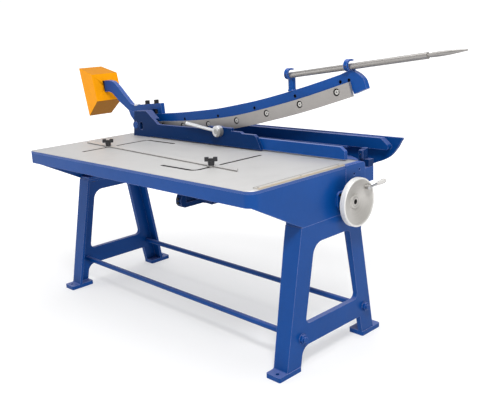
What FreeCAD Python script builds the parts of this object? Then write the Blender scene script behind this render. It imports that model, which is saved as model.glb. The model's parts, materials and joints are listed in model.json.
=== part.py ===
import FreeCAD, Part
import math
import os

V = FreeCAD.Vector
os.makedirs("parts", exist_ok=True)

# ---------------------------------------------------------------- dimensions
# All lengths in mm. X runs along the cut, Y from the front edge of the table
# to the back, Z up from the floor. The working layout below has y = 0 at the
# table's front edge; every piece is shifted by ORIGIN_Y when it is written,
# so that the origin lies midway between the four floor anchor holes.
TABLE_HALF = 862.0        # half length of the table
TABLE_TOP = 850.0         # working height
APRON_BOTTOM = 779.5      # lower edge of the front apron
CORNERS = {0: 6.0, 1: 42.0}    # plan radii of the left and right front corners
SHEAR_Y = 703.0           # the plane of the cut
KNIFE_T = 20.0            # lower knife thickness
KNIFE_H = 60.0            # lower knife height
KNIFE_X0, KNIFE_X1 = -640.0, 842.0
RUN_GAP = 0.3             # running gap between the two knives
PIVOT_X, PIVOT_Z = -741.0, 913.0
PIVOT_R = 16.0            # pivot pin radius
PIVOT_CLEAR = 0.05        # radial clearance of the turning joints
BUSH_R = 20.0             # outer radius of the pivot bush
BEAM_Y0, BEAM_Y1 = 719.0, 745.0
HUB_Y0 = 684.0            # front end of the beam's pivot hub
BRACKET_Y0, BRACKET_Y1 = 636.0, 654.0
UPRIGHT_Y1 = 681.0
HOLD_Y0, HOLD_Y1 = 655.0, 673.0
HOLD_Z0, HOLD_Z1 = 856.0, 912.0
HOLD_TRAVEL = 5.6         # drop of the hold-down bar to the table
CLAMP_X, CLAMP_Z = 8.0, 932.0
CAM_R = 29.4              # cam radius at the released end
GUIDE_Z = 880.0           # height of the hold-down guide pins
LEG_X0, LEG_X1 = 771.0, 862.0
WEB_T = 25.0              # thickness of the stands' webs
FOOT_X0, FOOT_X1 = 784.0, 865.0
PAD_T = 22.0              # thickness of the foot pads
ANCHOR_X, ANCHOR_Y0, ANCHOR_Y1 = 830.0, 140.0, 816.0
ANCHOR_R = 9.0
ROD_R, ROD_END_R = 14.0, 12.0
ROD_YZ = ((267.0, 149.0), (716.0, 148.0))
ARM_X0, ARM_X1 = 283.0, 319.0
GARM_Z0, GARM_Z1 = 678.0, 742.0
WHEEL_Y, WHEEL_Z = 597.0, 690.0
SHAFT_R = 10.0
PINION_PITCH_R = 16.0
PINION_TEETH = 16
HANDLE_R = 14.0
ORIGIN_Y = 0.5 * (ANCHOR_Y0 + ANCHOR_Y1)

NODES = {}


# ---------------------------------------------------------------- helpers
def box(x0, x1, y0, y1, z0, z1):
    return Part.makeBox(x1 - x0, y1 - y0, z1 - z0, V(x0, y0, z0))


def cyl_x(x0, x1, y, z, r):
    return Part.makeCylinder(r, x1 - x0, V(x0, y, z), V(1, 0, 0))


def cyl_y(y0, y1, x, z, r):
    return Part.makeCylinder(r, y1 - y0, V(x, y0, z), V(0, 1, 0))


def cyl_z(z0, z1, x, y, r):
    return Part.makeCylinder(r, z1 - z0, V(x, y, z0), V(0, 0, 1))


def at(plane, a, b, c):
    if plane == "xz":
        return V(a, c, b)
    if plane == "yz":
        return V(c, a, b)
    return V(a, b, c)


def outline(pts, plane, c, radii=None):
    """Closed wire through pts, corner i rounded with radii[i]."""
    n = len(pts)
    radii = radii or {}
    segs = []
    ends = []
    for i in range(n):
        p0, p1, p2 = pts[i - 1], pts[i], pts[(i + 1) % n]
        r = radii.get(i, 0.0) if isinstance(radii, dict) else radii
        if r <= 0:
            ends.append((p1, p1, None))
            continue
        a = (p0[0] - p1[0], p0[1] - p1[1])
        b = (p2[0] - p1[0], p2[1] - p1[1])
        la, lb = math.hypot(*a), math.hypot(*b)
        a = (a[0] / la, a[1] / la)
        b = (b[0] / lb, b[1] / lb)
        dot = max(-1.0, min(1.0, a[0] * b[0] + a[1] * b[1]))
        ang = math.acos(dot)
        t = min(r / math.tan(ang / 2), 0.49 * la, 0.49 * lb)
        rr = t * math.tan(ang / 2)
        s = (p1[0] + a[0] * t, p1[1] + a[1] * t)
        e = (p1[0] + b[0] * t, p1[1] + b[1] * t)
        bis = (a[0] + b[0], a[1] + b[1])
        lbis = math.hypot(*bis)
        d = rr / math.sin(ang / 2)
        cen = (p1[0] + bis[0] / lbis * d, p1[1] + bis[1] / lbis * d)
        m = (cen[0] - bis[0] / lbis * rr, cen[1] - bis[1] / lbis * rr)
        ends.append((s, e, m))
    for i in range(n):
        s, e, m = ends[i]
        if m is not None:
            segs.append(Part.Arc(at(plane, s[0], s[1], c), at(plane, m[0], m[1], c),
                                 at(plane, e[0], e[1], c)).toShape())
        nxt = ends[(i + 1) % n][0]
        if math.hypot(nxt[0] - e[0], nxt[1] - e[1]) > 1e-6:
            segs.append(Part.LineSegment(at(plane, e[0], e[1], c),
                                         at(plane, nxt[0], nxt[1], c)).toShape())
    return Part.Wire(segs)


def prism(pts, plane, c0, c1, radii=None):
    face = Part.Face(outline(pts, plane, c0, radii))
    return face.extrude(at(plane, 0, 0, c1 - c0))


def curve_prism(edges_pts, plane, c0, c1):
    """Closed profile: each item is ('l', pts) polyline or ('s', pts) smooth
    curve; consecutive items share their end points."""
    es = []
    for kind, pts in edges_pts:
        vs = [at(plane, p[0], p[1], c0) for p in pts]
        if kind == "s":
            b = Part.BSplineCurve()
            b.interpolate(vs)
            es.append(b.toShape())
        else:
            for p, q in zip(vs, vs[1:]):
                es.append(Part.LineSegment(p, q).toShape())
    face = Part.Face(Part.Wire(es))
    return face.extrude(at(plane, 0, 0, c1 - c0))


def hexagon(axis, cx, cy, cz, af, h):
    """Hexagonal prism, af across flats, h along +axis from (cx,cy,cz)."""
    r = af / math.sqrt(3.0)
    pts = [(r * math.cos(math.radians(60 * i)), r * math.sin(math.radians(60 * i))) for i in range(6)]
    if axis == "x":
        w = Part.makePolygon([V(cx, cy + p[0], cz + p[1]) for p in pts] + [V(cx, cy + pts[0][0], cz + pts[0][1])])
        return Part.Face(w).extrude(V(h, 0, 0))
    if axis == "y":
        w = Part.makePolygon([V(cx + p[0], cy, cz + p[1]) for p in pts] + [V(cx + pts[0][0], cy, cz + pts[0][1])])
        return Part.Face(w).extrude(V(0, h, 0))
    w = Part.makePolygon([V(cx + p[0], cy + p[1], cz) for p in pts] + [V(cx + pts[0][0], cy + pts[0][1], cz)])
    return Part.Face(w).extrude(V(0, 0, h))


def mirror_x(s):
    return s.mirror(V(0, 0, 0), V(1, 0, 0))


def fillet(s, picker, r):
    """Round the edges that picker(edge) accepts; keep s if it fails."""
    es = [e for e in s.Edges if picker(e)]
    if not es:
        return s
    try:
        f = s.makeFillet(r, es)
        if f.isValid() and len(f.Solids) == len(s.Solids):
            return f
    except Exception:
        pass
    return s


def fuse(*shapes):
    s = shapes[0]
    for t in shapes[1:]:
        s = s.fuse(t)
    return s.removeSplitter()


def add(name, *solids):
    out = []
    for s in solids:
        for so in s.Solids:
            assert so.isValid(), name
            out.append(so)
    NODES[name] = out


def vertical(e):
    if len(e.Vertexes) != 2:
        return False
    a, b = e.Vertexes[0].Point, e.Vertexes[1].Point
    return abs(a.x - b.x) < 1e-6 and abs(a.y - b.y) < 1e-6


# ---------------------------------------------------------------- the stands
def y_front(z):
    return 162.7 + 0.195 * z


def y_rear(z):
    return 789.2 - 0.172 * z


STAND_TOP = 636.0


def stand():
    outer = [(152, PAD_T - 4), (152, PAD_T), (y_front(PAD_T), PAD_T), (y_front(STAND_TOP), STAND_TOP),
             (712, STAND_TOP), (y_rear(535), 535), (y_rear(PAD_T), PAD_T), (800, PAD_T), (800, PAD_T - 4),
             (701, PAD_T - 4), (684, 107), (274, 107), (256, PAD_T - 4)]
    orad = {2: 12, 5: 40, 6: 12, 10: 6, 11: 50}
    win = [(294, 203), (668, 203), (612, 552), (366, 552)]
    wrad = {0: 26, 1: 26, 2: 24, 3: 62}
    web = prism(outer, "yz", LEG_X1 - WEB_T, LEG_X1, orad)
    # edge flanges of the two legs and of the top, cut to the outline of the web
    full = prism(outer, "yz", LEG_X0, LEG_X1 - 6, orad)
    fr = prism([(100, 0), (y_front(0) + 16, 0), (y_front(640) + 14, 640), (100, 640)], "yz", LEG_X0, LEG_X1 - 6)
    rr = prism([(900, 0), (y_rear(0) - 16, 0), (y_rear(535) - 14, 535), (698, 640), (900, 640)],
               "yz", LEG_X0, LEG_X1 - 6)
    top = box(LEG_X0, LEG_X1 - 6, y_front(STAND_TOP - 14), 712, STAND_TOP - 14, STAND_TOP)
    flanges = [q.common(full) for q in (fr, rr, top)]
    s = fuse(web, *flanges)
    # the legs taper towards the feet
    s = s.cut(prism([(750, 560), (LEG_X0, 560), (FOOT_X0 - 1, 22), (FOOT_X0 - 1, 10), (750, 10)], "xz", 90, 870))
    s = s.cut(prism(win, "yz", LEG_X0 - 5, LEG_X1 + 5, wrad))
    pads = [box(FOOT_X0, FOOT_X1, 116, 257, 0, PAD_T), box(FOOT_X0, FOOT_X1, 700, 841, 0, PAD_T)]
    pads = [fillet(p, vertical, 8) for p in pads]
    s = fuse(s, *pads)
    # anchor, tie rod and table bolt holes
    for y in (ANCHOR_Y0, ANCHOR_Y1):
        s = s.cut(cyl_z(-1, PAD_T + 1, ANCHOR_X, y, ANCHOR_R))
    for y, z in ROD_YZ:
        s = s.cut(cyl_x(LEG_X0 - 5, LEG_X1 + 5, y, z, ROD_END_R))
    for y in (345, 640):
        s = s.cut(cyl_z(STAND_TOP - 20, STAND_TOP + 5, 812, y, 8))
    return s


right_stand = stand()
add("stand_right", right_stand)
add("stand_left", mirror_x(right_stand))

# the tie rods are shouldered against the webs and held by a washer and nut
rod_fit = []
for i, (y, z) in enumerate(ROD_YZ):
    rod = fuse(cyl_x(-(LEG_X1 - WEB_T), LEG_X1 - WEB_T, y, z, ROD_R),
               cyl_x(-(LEG_X1 + 24), LEG_X1 + 24, y, z, ROD_END_R))
    add("tie_rod_front" if i == 0 else "tie_rod_rear", rod)
    bore = cyl_x(LEG_X1 - 40, LEG_X1 + 40, y, z, ROD_END_R)
    for p in (cyl_x(LEG_X1, LEG_X1 + 3, y, z, 22), hexagon("x", LEG_X1 + 3, y, z, 36, 13)):
        p = p.cut(bore)
        rod_fit += [p, mirror_x(p)]
add("tie_rod_nuts", *rod_fit)

# ---------------------------------------------------------------- the table
end_wall = [(0, 836), (0, 779.5), (14, 778), (180, 694), (294, 636), (712, 636), (718, 660),
            (727, 740), (727, 834), (704, 848), (704, 836)]
wall = prism(end_wall, "yz", TABLE_HALF - 12, TABLE_HALF, {3: 60, 6: 60})
rim_line = [(-TABLE_HALF, 0), (TABLE_HALF, 0), (TABLE_HALF, 120), (-TABLE_HALF, 120)]
deck = prism([(-TABLE_HALF, 0), (TABLE_HALF, 0), (TABLE_HALF, 682), (-TABLE_HALF, 682)], "xy", 822, 836, CORNERS)
apron = prism(rim_line, "xy", APRON_BOTTOM, 836, CORNERS)
apron = apron.cut(prism([(-TABLE_HALF + 12, 14), (TABLE_HALF - 12, 14), (TABLE_HALF - 12, 130), (-TABLE_HALF + 12, 130)],
                        "xy", APRON_BOTTOM - 5, 822.5, {1: CORNERS[1] - 12}))
corner = box(-TABLE_HALF - 5, TABLE_HALF + 5, -5, 60, 600, 850).cut(prism(rim_line, "xy", 590, 860, CORNERS))
parts = [deck, apron, wall, mirror_x(wall)]
# rear wall, to which the lower knife is bolted
parts.append(box(-TABLE_HALF + 22, TABLE_HALF - 22, 664, 682.9, 752, 836))
# foot flanges of the end walls, bolted on the stands
fl = box(LEG_X0, TABLE_HALF - 6, 290, 712, 636, 650)
parts += [fl, mirror_x(fl)]
# stiffening ribs under the deck
for x in (-430, 0, 600):
    parts.append(box(x - 6, x + 6, 10, 670, 785, 825))
for x in (-600, -200, 215, 600):
    parts.append(prism([(675, 700), (675, 788), (762, 788), (764.5, 792), (764.5, 828), (806, 828), (806, 808), (765, 745), (700, 700)],
                       "yz", x - 7, x + 7))
parts.append(box(255, 347, 10, 670, 779, 825))
# seat under the pivot upright
parts.append(box(-800, -600, 600, 670, 780, 825))
# rear ledge behind the cut, its two ends cut back at an angle
ledge_r = [(798, 764.5), (798, 770), (785, 783), (718, 828), (660, 846)]
ledge = prism(ledge_r + [(-x, y) for x, y in ledge_r[::-1]], "xy", 826, 836, {1: 6, 4: 20, 5: 20, 8: 6})
parts.append(ledge)
# machined pad for the blade guide on the right wall
pad = prism([(587, 702), (716, 702), (727, 740), (727, 834), (716, 846), (587, 846)], "yz", TABLE_HALF - 1, TABLE_HALF + 3, {4: 6})
parts.append(pad)
# rim of the right and left walls behind the plate's shoulder
rim = prism([(587, 836), (587, 850), (697, 850), (704, 848), (704, 836)], "yz", TABLE_HALF - 16, TABLE_HALF, {2: 6})
parts += [rim]
body = fuse(*parts)
body = body.cut(corner)
body = body.cut(prism([(859, 850), (863, 850), (863, 846)], "xz", 580, 710))
# channels below the two gauge slots
LS = [(-541, 141), (-541, 563), (-295, 563)]
RS = [(143, 141), (371, 142), (371, 561)]
LS_R, RS_R = 27.0, 30.0


def slot(path, w, z0, z1, r):
    (ax, ay), (bx, by), (cx, cy) = path
    h = w / 2.0
    if path is LS:
        pts = [(ax - h, ay), (ax + h, ay), (bx + h, by - h), (cx, cy - h), (cx, cy + h), (bx - h, by + h)]
        s = prism(pts, "xy", z0, z1, {2: r - h, 5: r + h})
    else:
        pts = [(ax, ay - h), (bx + h, by - h), (cx + h, cy), (cx - h, cy), (bx - h, by + h), (ax, ay + h)]
        s = prism(pts, "xy", z0, z1, {1: r + h, 4: r - h})
    return s.fuse([cyl_z(z0, z1, ax, ay, h), cyl_z(z0, z1, cx, cy, h)]).removeSplitter()


for p, r in ((LS, LS_R), (RS, RS_R)):
    body = body.cut(slot(p, 40, 790, 837, r))
# bolt holes of the foot flanges
for y in (345, 640):
    for sgn in (1, -1):
        body = body.cut(cyl_z(630, 660, sgn * 812, y, 8))
# lower knife screws, upright screws, guide plate screws, guide channel screws
LK_X = [-580, -380, -120, 120, 400, 570, 790]
LK_Z = 808.0
for x in LK_X:
    body = body.cut(cyl_y(640, 690, x, LK_Z, 6))
UP_XY = [(-745, 652), (-655, 652)]
for x, y in UP_XY:
    body = body.cut(cyl_z(770, 840, x, y, 8))
PAD_YZ = [(685, 815), (646, 800), (685, 776)]
for y, z in PAD_YZ:
    body = body.cut(cyl_x(TABLE_HALF - 20, TABLE_HALF + 6, y, z, 6))
CH_XY2 = [(275, 300), (327, 300), (275, 520), (327, 520)]
for x, y in CH_XY2:
    body = body.cut(cyl_z(770, 800, x, y, 4))
# shaft hole in the right wall
body = body.cut(cyl_x(TABLE_HALF - 20, TABLE_HALF + 6, WHEEL_Y, WHEEL_Z, 24))
plate = prism([(-TABLE_HALF, 0), (TABLE_HALF, 0), (TABLE_HALF, 586.7), (TABLE_HALF - 16.3, 586.7),
               (TABLE_HALF - 16.3, 682.7), (-TABLE_HALF, 682.7)], "xy", 836, TABLE_TOP, CORNERS)


def plate_rim(e):
    return all(abs(v.Point.z - TABLE_TOP) < 1e-4 and
               (abs(v.Point.y) < 1e-3 or abs(abs(v.Point.x) - TABLE_HALF) < 1e-3) for v in e.Vertexes)


plate = plate.makeChamfer(3.0, [e for e in plate.Edges if plate_rim(e)])
for p, r in ((LS, LS_R), (RS, RS_R)):
    plate = plate.cut(slot(p, 20, 830, 855, r))
for x, y in UP_XY:
    plate = plate.cut(cyl_z(830, 855, x, y, 8))
RULE_Y = (60, 310, 560)
for y in RULE_Y:
    plate = plate.cut(cyl_z(838, 855, 844, y, 2.5))
add("table_plate", plate)

rule = box(827, 861, 48, 585, TABLE_TOP, TABLE_TOP + 3)
rs = []
for y in RULE_Y:
    rule = rule.cut(cyl_z(840, 860, 844, y, 2.5)).cut(Part.makeCone(2.5, 5.0, 2.5, V(844, y, TABLE_TOP + 0.5), V(0, 0, 1)))
    rs.append(cyl_z(838.5, TABLE_TOP + 1, 844, y, 2.5).fuse(Part.makeCone(2.5, 4.9, 2.4, V(844, y, TABLE_TOP + 0.5), V(0, 0, 1))).removeSplitter())
add("side_rule", rule)
add("side_rule_screws", *rs)

sb = []
for y in (345, 640):
    for sgn in (1, -1):
        b = cyl_z(STAND_TOP - 24, STAND_TOP + 30, 812, y, 8).fuse(hexagon("z", 812, y, STAND_TOP - 24, 24, 10)).removeSplitter()
        n = hexagon("z", 812, y, STAND_TOP + 14, 24, 13).cut(cyl_z(600, 700, 812, y, 8))
        for p in (b, n):
            sb.append(p if sgn > 0 else mirror_x(p))

# ---------------------------------------------------------------- lower knife
lk = box(KNIFE_X0, KNIFE_X1, SHEAR_Y - KNIFE_T, SHEAR_Y, TABLE_TOP - KNIFE_H, TABLE_TOP)
lks = []
for x in LK_X:
    lk = lk.cut(cyl_y(680, 710, x, LK_Z, 6)).cut(Part.makeCone(6, 12, 6, V(x, SHEAR_Y - 6, LK_Z), V(0, 1, 0)))
    s = cyl_y(648, SHEAR_Y - 3, x, LK_Z, 6)
    s = s.fuse(Part.makeCone(6, 11.8, 5.9, V(x, SHEAR_Y - 6, LK_Z), V(0, 1, 0))).removeSplitter()
    s = s.cut(cyl_y(SHEAR_Y - 5, SHEAR_Y + 1, x, LK_Z, 4))
    n = hexagon("y", x, 654, LK_Z, 18, 10).cut(cyl_y(640, 690, x, LK_Z, 6))
    lks += [s, n]
add("lower_knife", lk)
add("lower_knife_screws", *lks)

# ---------------------------------------------------------------- pivot upright and hold-down
arm_plate = prism([(-769, 856), (-748, 998), (-630, 1005), (-528, 934), (-503, 931), (-285, 933), (-82, 936),
                   (-82, 952), (98, 952), (98, 936.5), (161, 937), (175, 929), (260, 929.5), (274, 918), (304.5, 856)],
                  "xz", BRACKET_Y0, BRACKET_Y1, {1: 6, 2: 12, 3: 10, 7: 5, 8: 5, 11: 4, 12: 4})
upright = prism([(-769, 850), (-748, 998), (-630, 1005), (-560, 956), (-600, 920), (-612, 850)],
                "xz", BRACKET_Y0, UPRIGHT_Y1, {1: 6, 2: 12, 3: 8, 4: 10})
bracket = fuse(arm_plate, upright)
# recess beside the pivot and the pivot boss
bracket = bracket.cut(prism([(-702, 889), (-673, 889), (-673, 935), (-702, 935)], "xz", BRACKET_Y0 - 1, BRACKET_Y0 + 24,
                            {0: 10, 1: 10, 2: 10, 3: 10}))
bracket = bracket.fuse(cyl_y(BRACKET_Y0 - 2, BRACKET_Y0 + 1, PIVOT_X, PIVOT_Z, 25)).removeSplitter()
bracket = bracket.cut(cyl_y(600, 700, PIVOT_X, PIVOT_Z, PIVOT_R))
for x, y in UP_XY:
    bracket = bracket.cut(cyl_z(845, 874, x, y, 8))
GP_X = [-540, -260, 240]
for x in GP_X:
    bracket = bracket.cut(cyl_y(BRACKET_Y0 + 2, 700, x, GUIDE_Z, 6))
SP_X = [-400, 120]
for x in SP_X:
    bracket = bracket.cut(cyl_y(BRACKET_Y0 + 2, 700, x, 872, 5))
bracket = fuse(bracket, cyl_y(BRACKET_Y0, BRACKET_Y1, CLAMP_X, CLAMP_Z, 24))
bracket = bracket.cut(cyl_y(600, 700, CLAMP_X, CLAMP_Z, 12 + PIVOT_CLEAR))
add("holddown_bracket", bracket)
ub = []
for x, y in UP_XY:
    ub.append(cyl_z(766, 872, x, y, 8).fuse(hexagon("z", x, y, 770, 24, 10)).removeSplitter())
add("table_bolts", *(sb + ub))

hold = prism([(-596, HOLD_Z0), (808, HOLD_Z0), (808, 893), (782, HOLD_Z1), (-596, HOLD_Z1)], "xz", HOLD_Y0, HOLD_Y1, {2: 6, 3: 6})
# vertical guide slots, spring windows and the cam window
for x in GP_X:
    hold = hold.cut(box(x - 6.05, x + 6.05, 650, 700, GUIDE_Z - 6.3, GUIDE_Z + 6.3 + HOLD_TRAVEL))
for x in SP_X:
    hold = hold.cut(box(x - 8, x + 8, 650, 679, HOLD_Z0 + 5.9, 902))
hold = hold.cut(box(CLAMP_X - 33, CLAMP_X + 33, 650, 700, 902, 925))
add("holddown_bar", hold)

# guide pins of the hold-down bar, spring seats and return springs
gp = [cyl_y(BRACKET_Y0 + 2, HOLD_Y1 - 2, x, GUIDE_Z, 6) for x in GP_X]
seats = []
springs = []
for x in SP_X:
    seats.append(cyl_y(BRACKET_Y0 + 2, 658, x, 872, 5).fuse(box(x - 7, x + 7, 656.5, 672.5, 866, 878)).removeSplitter())
    coil = Part.makeHelix(4.2, 21.0, 5.3)
    prof = Part.Wire([Part.makeCircle(0.9, V(5.3, 0, 0), V(0, 1, 0.12))])
    sp = Part.Wire(coil).makePipeShell([prof], True, False)
    sp.translate(V(x, 664.5, 879.6))
    assert sp.isValid() and sp.Volume > 10
    springs.append(sp)
add("holddown_guide_pins", *(gp + seats))
add("holddown_springs", *springs)

# clamp shaft with its cam, and the clamp lever
cam = []
for k in range(0, 72):
    al = -180 + 5 * k
    if -15 <= al <= 105:
        r = CAM_R + HOLD_TRAVEL * al / 90.0
    elif 105 < al < 125:
        r = 16.0 + (CAM_R + HOLD_TRAVEL * 105 / 90.0 - 16.0) * (125 - al) / 20.0
    elif -35 < al < -15:
        r = 16.0 + (CAM_R - HOLD_TRAVEL * 15 / 90.0 - 16.0) * (al + 35) / 20.0
    else:
        r = 16.0
    a = math.radians(al)
    cam.append((CLAMP_X + r * math.sin(a), CLAMP_Z - r * math.cos(a)))
cshaft = prism(cam, "xz", 657, HOLD_Y1 - 1)
cshaft = fuse(cshaft, cyl_y(612, 658, CLAMP_X, CLAMP_Z, 12))
add("clamp_shaft", cshaft)
hub = cyl_y(606, 635.2, CLAMP_X, CLAMP_Z, 30)
hub = fillet(hub, lambda e: len(e.Vertexes) == 1 and abs(e.Vertexes[0].Point.y - 606) < 1e-6, 6)
d = V(-250, 0, 27)
d.normalize()
p0 = V(CLAMP_X, 620, CLAMP_Z)
lev = Part.makeCone(8.0, 10.0, 225, p0 + d * 20, d)
ball = Part.makeSphere(10.2, p0 + d * 245.4)
lever = fuse(hub, lev, ball).cut(cyl_y(611, 640, CLAMP_X, CLAMP_Z, 12))
add("clamp_lever", lever)

# ---------------------------------------------------------------- pivot
HEAD_Y0 = BRACKET_Y0 - 6
pin = fuse(cyl_y(HEAD_Y0, BRACKET_Y0 - 2, PIVOT_X, PIVOT_Z, 22),
           cyl_y(BRACKET_Y0 - 3, 773, PIVOT_X, PIVOT_Z, PIVOT_R))
pin = fillet(pin, lambda e: len(e.Vertexes) == 1 and abs(e.Vertexes[0].Point.y - HEAD_Y0) < 1e-6, 2)
add("pivot_pin", pin)
pin_bore = cyl_y(600, 800, PIVOT_X, PIVOT_Z, PIVOT_R)
add("pivot_washers",
    cyl_y(UPRIGHT_Y1, HUB_Y0 - 0.3, PIVOT_X, PIVOT_Z, 30).cut(pin_bore),
    cyl_y(BEAM_Y1 + 0.3, BEAM_Y1 + 4, PIVOT_X, PIVOT_Z, 28).cut(pin_bore))
add("pivot_nut", hexagon("y", PIVOT_X, BEAM_Y1 + 4, PIVOT_Z, 46, 20).cut(pin_bore))
add("pivot_bush", cyl_y(HUB_Y0, BEAM_Y1, PIVOT_X, PIVOT_Z, BUSH_R).cut(
    cyl_y(600, 800, PIVOT_X, PIVOT_Z, PIVOT_R + PIVOT_CLEAR)))

# ---------------------------------------------------------------- blade
EDGE = [(-600, 870), (-376, 886), (-150, 909), (77, 943), (299, 992), (520, 1047), (742, 1111), (814, 1132.5)]


def offset(pts, d):
    out = []
    for i, p in enumerate(pts):
        a = pts[max(0, i - 1)]
        b = pts[min(len(pts) - 1, i + 1)]
        t = (b[0] - a[0], b[1] - a[1])
        L = math.hypot(*t)
        out.append((p[0] - t[1] / L * d, p[1] + t[0] / L * d))
    return out


knife_top = offset(EDGE, 66)
knife = curve_prism([("s", EDGE), ("l", [EDGE[-1], knife_top[-1]]), ("s", knife_top[::-1]), ("l", [knife_top[0], EDGE[0]])],
                    "xz", SHEAR_Y + RUN_GAP, BEAM_Y0)
beam_low = offset(EDGE, 27)
# the blade's top line: the flat seat of the counterweight arm, then the long
# rise to the rounded nose
SEAT = [(-924, 986), (-793, 967), (-633, 977.6), (-584, 981.4), (-555, 983.8)]
TOPL = [(-555, 983.8), (-414, 996), (-228, 1017), (-111, 1032), (8, 1052), (122, 1073), (232, 1095), (336, 1119),
        (501, 1160), (622, 1193), (739, 1227)]
NOSE = [(739, 1227), (766, 1238), (783, 1243.5), (800, 1245.5), (822, 1239), (843, 1227.5), (861, 1212.5), (869, 1202)]
profile = [("l", SEAT), ("s", TOPL), ("s", NOSE), ("l", [(869, 1202), (877, 1180), (881, 1167.5), (814, 1142), beam_low[-1]]),
           ("s", beam_low[::-1]),
           ("l", [beam_low[0], (-741, 863), (-763, 868.1), (-875, 923), (-908, 955), (-916, 974), (-924, 986)])]
beam = curve_prism(profile, "xz", BEAM_Y0, BEAM_Y1)
beam_wide = curve_prism(profile, "xz", 650, 790)
beam = fuse(beam, cyl_y(HUB_Y0, BEAM_Y1, PIVOT_X, PIVOT_Z, 50))
beam = beam.cut(cyl_y(600, 800, PIVOT_X, PIVOT_Z, BUSH_R))
BOLTS = [(728, 1149), (507, 1085), (287, 1031), (68, 981), (-157, 948), (-378, 925), (-560, 912)]
kb = []
for x, z in BOLTS:
    knife = knife.cut(cyl_y(700, 730, x, z, 8)).cut(cyl_y(700, 711.5, x, z, 16))
    beam = beam.cut(cyl_y(700, 750, x, z, 8)).cut(cyl_y(735.5, 750, x, z, 15))
    b = cyl_y(705.0, 744.4, x, z, 8).fuse(cyl_y(705.0, 711.5, x, z, 11.5)).removeSplitter()
    b = fillet(b, lambda e: len(e.Vertexes) == 1 and abs(e.Vertexes[0].Point.y - 705.0) < 1e-6, 1.2)
    kb += [b, hexagon("y", x, 735.5, z, 24, 8).cut(cyl_y(700, 760, x, z, 8))]
SETS = [(-374, 962), (-90.5, 995), (190, 1051.5), (467, 1122), (739, 1194), (787, 1203)]
ss = []
for x, z in SETS:
    beam = beam.cut(cyl_y(700, 738, x, z, 7))
    ss.append(cyl_y(728, 738, x, z, 7).cut(hexagon("y", x, 727, z, 7, 6)))
# vertical screws of the arm head
CAP_X = [-736.0, -646.0]
ARM_Y = 0.5 * (BEAM_Y0 + BEAM_Y1)
CAP_LOW = {-736.0: 940.0, -646.0: 925.0}


def head_z(x):
    return 1025 + (x + 797) * 18.0 / 208.0


for x in CAP_X:
    beam = beam.cut(cyl_z(CAP_LOW[x] - 2, 1100, x, ARM_Y, 7.5))
add("upper_knife", knife)
add("knife_bolts", *kb)

# ---------------------------------------------------------------- counterweight arm
W_C = V(-1181, ARM_Y, 1126)
TILT = 12.9
ARM = [(-1200, 1162), (-1123, 1168), (-1067, 1160.5), (-1017, 1127), (-959, 1078.5), (-892, 1025), (-861, 1018),
       (-797, 1025), (-589, 1043), (-584.5, 981.4), (-633, 977.6), (-793, 967), (-924, 986), (-1010, 1032.6),
       (-1090, 1090), (-1130, 1095.5), (-1200, 1089)]
arm = prism(ARM, "xz", BEAM_Y0, BEAM_Y1, {1: 70, 2: 70, 3: 60, 5: 50, 6: 40, 8: 4, 13: 40, 14: 60, 15: 30})
# window with the lock nut of the right screw
arm = arm.cut(prism([(-678, 970), (-623, 970), (-623, 1006), (-678, 1006)], "xz", BEAM_Y0 - 1, BEAM_Y1 - 1.8, {2: 3, 3: 3}))
for x in CAP_X:
    arm = arm.cut(cyl_z(940, 1100, x, ARM_Y, 7.5)).cut(cyl_z(head_z(x) - 2, 1120, x, ARM_Y, 15.5))
DISC_X = -843.0
arm = arm.cut(cyl_z(980, 1100, DISC_X, ARM_Y, 6)).cut(cyl_z(1017.5, 1045, DISC_X, ARM_Y, 20))
ax = V(math.cos(math.radians(TILT)), 0, math.sin(math.radians(TILT)))
up = V(-ax.z, 0, ax.x)
halfsp = Part.makeBox(400, 400, 400, V(-400, -200, -200))
halfsp.rotate(V(0, 0, 0), V(0, 1, 0), -TILT)
halfsp.translate(W_C)
arm = arm.cut(halfsp)
stud = Part.makeCylinder(9, 110, W_C - ax * 70, ax)
arm = arm.cut(stud)
add("counterweight_arm", arm)
caps = []
for x in CAP_X:
    zb = head_z(x) - 2
    c = cyl_z(zb, zb + 24, x, ARM_Y, 14.5).fuse(cyl_z(CAP_LOW[x], zb + 1, x, ARM_Y, 7.5)).removeSplitter()
    c = fillet(c, lambda e: len(e.Vertexes) == 1 and abs(e.Vertexes[0].Point.z - zb - 24) < 1e-6, 1.5)
    c = c.cut(hexagon("z", x, ARM_Y, zb + 14, 14, 12))
    caps.append(c)
seat_z = 977.6 - 13 * 10.6 / 160.0
caps.append(hexagon("z", CAP_X[1], ARM_Y, seat_z + 2.2, 22, 18).cut(cyl_z(900, 1100, CAP_X[1], ARM_Y, 7.5)))
add("arm_cap_screws", *caps)
disc = cyl_z(1017.5, 1026, DISC_X, ARM_Y, 19).fuse(cyl_z(984, 1018, DISC_X, ARM_Y, 6)).removeSplitter()
disc = fillet(disc, lambda e: len(e.Vertexes) == 1 and abs(e.Vertexes[0].Point.z - 1026) < 1e-6, 1.5)
add("arm_locating_stud", disc)
add("beam_set_screws", *ss)

# counterweight: a tapered block, tall at the far end


def weight_face(y0, y1, h0, h1, d):
    p = [W_C + up * h - ax * d for h in (h0, h0, h1, h1)]
    for q, y in zip(p, (y0, y1, y1, y0)):
        q.y = y
    return Part.makePolygon(p + [p[0]])


wt = Part.makeLoft([weight_face(648, 844, -90.5, 82.5, 0), weight_face(658, 831, -163, 158.5, 148)], True, True)
wt = fillet(wt, lambda e: True, 3)
wt = wt.cut(stud)
add("counterweight", wt)
add("counterweight_stud", stud)

# ---------------------------------------------------------------- hooks and handle
HY = 714.0
HSL = 0.1188
BAR_X0, BAR_X1 = 430.0, 1182.0


def bar_z(x):
    return 1219.4 + HSL * (x - 437.3)


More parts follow.
